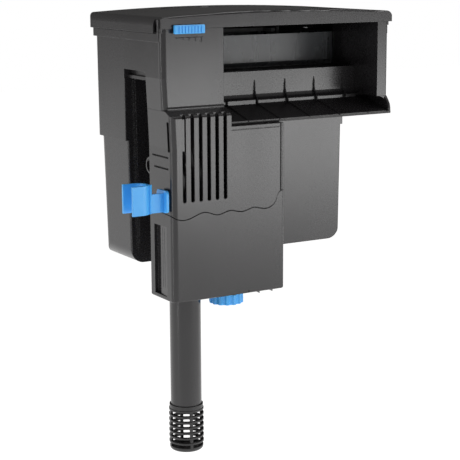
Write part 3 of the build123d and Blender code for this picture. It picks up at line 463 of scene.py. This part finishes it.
carbon = packed_fill("carbon_granules", "carbon_cartridge", CARBON, granule, 0.0023, 0.0041, 7)
carbon_net = net_bag("carbon_net", "carbon_cartridge", fabric_thread("black_net", (0.02, 0.02, 0.02), (0.05, 0.05, 0.05)),
                     0.0035, 0.0006)
bio = packed_fill("ceramic_rings", "bio_media_bag", BIO, ceramic_ring, 0.0042, 0.0088, 11)
bio_net = net_bag("ceramic_net", "bio_media_bag", fabric_thread("white_net", (0.62, 0.63, 0.62), (0.82, 0.83, 0.82)),
                  0.0050, 0.0007)
for ob, node, slot_name in ((carbon, "carbon_cartridge", "carbon_mesh"), (carbon_net, "carbon_cartridge", "carbon_mesh"),
                            (bio, "bio_media_bag", "bio_mesh"), (bio_net, "bio_media_bag", "bio_mesh")):
    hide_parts(node)
    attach(ob, "basket")


# ------------------------------------------------------------ stage and light
ROOM = 0.30
CENTRE = Vector((0.0, 0.0, -0.07))


def make_stage():
    me = bpy.data.meshes.new("studio_floor")
    s, z = 6.0, -0.62
    me.from_pydata([(-s, -s, z), (s, -s, z), (s, s, z), (-s, s, z)], [], [(0, 1, 2, 3)])
    floor = bpy.data.objects.new("studio_floor", me)
    scene.collection.objects.link(floor)
    g = Graph("pale_floor")
    g.link(g.ramp(g.noise(3.0, 2.0), [(0.3, (0.86, 0.86, 0.86)), (0.7, (0.90, 0.90, 0.90))]),
           g.bsdf.inputs["Base Color"])
    g.bsdf.inputs["Roughness"].default_value = 0.9
    g.bsdf.inputs["Emission Color"].default_value = (1.0, 1.0, 1.0, 1.0)
    g.bsdf.inputs["Emission Strength"].default_value = 0.80
    me.materials.append(g.mat)

    # a white room: bright as a backdrop, dimmer as a source of light
    w = bpy.data.worlds.new("studio_world")
    w.use_nodes = True
    nt = w.node_tree
    nt.nodes.clear()
    out = nt.nodes.new("ShaderNodeOutputWorld")
    mix = nt.nodes.new("ShaderNodeMixShader")
    path = nt.nodes.new("ShaderNodeLightPath")
    room = nt.nodes.new("ShaderNodeBackground")
    room.inputs[0].default_value = (1.0, 0.985, 0.97, 1.0)
    # the side behind the object is kept darker, so that the flat tops stay black
    way = nt.nodes.new("ShaderNodeTexCoord").outputs["Generated"]
    dot = nt.nodes.new("ShaderNodeVectorMath")
    dot.operation = "DOT_PRODUCT"
    nt.links.new(way, dot.inputs[0])
    dot.inputs[1].default_value = (0.52, 0.85, 0.0)
    fall = nt.nodes.new("ShaderNodeMapRange")
    for i, v in enumerate((0.45, 0.90, ROOM, ROOM * 0.28), start=1):
        fall.inputs[i].default_value = v
    nt.links.new(dot.outputs["Value"], fall.inputs[0])
    nt.links.new(fall.outputs[0], room.inputs[1])
    drop = nt.nodes.new("ShaderNodeBackground")
    drop.inputs[0].default_value = (1.0, 1.0, 1.0, 1.0)
    drop.inputs[1].default_value = 1.0
    nt.links.new(path.outputs["Is Camera Ray"], mix.inputs[0])
    nt.links.new(room.outputs[0], mix.inputs[1])
    nt.links.new(drop.outputs[0], mix.inputs[2])
    nt.links.new(mix.outputs[0], out.inputs[0])
    scene.world = w


def area(name, loc, target, size, power, size_y=None):
    data = bpy.data.lights.new(name, "AREA")
    data.energy = power
    data.size = size
    if size_y:
        data.shape = "RECTANGLE"
        data.size_y = size_y
    ob = bpy.data.objects.new(name, data)
    ob.location = loc
    ob.rotation_mode = "QUATERNION"
    ob.rotation_quaternion = (Vector(target) - Vector(loc)).to_track_quat("-Z", "Y")
    scene.collection.objects.link(ob)
    return ob


def softbox(name, azimuth, elevation, distance, width, height, radiance):
    """A soft light round the object: azimuth in degrees from +X towards +Y, radiance against white = 1."""
    a, e = math.radians(azimuth), math.radians(elevation)
    way = Vector((math.cos(a) * math.cos(e), math.sin(a) * math.cos(e), math.sin(e)))
    ob = area(name, CENTRE + way * distance, CENTRE, width, radiance * math.pi * width * height, height)
    ob.visible_camera = False
    return ob


make_stage()
softbox("right_box", 306, -6, 1.25, 0.9, 0.26, 4.6)
softbox("left_box", 146, 6, 1.25, 0.7, 0.6, 0.85)
softbox("edge_strip", 188, 2, 1.3, 0.07, 0.9, 9.0)
softbox("top_box", 340, 66, 1.2, 0.6, 0.6, 3.0)

scene.view_settings.view_transform = "Standard"
scene.view_settings.look = "None"
scene.view_settings.exposure = 0.0
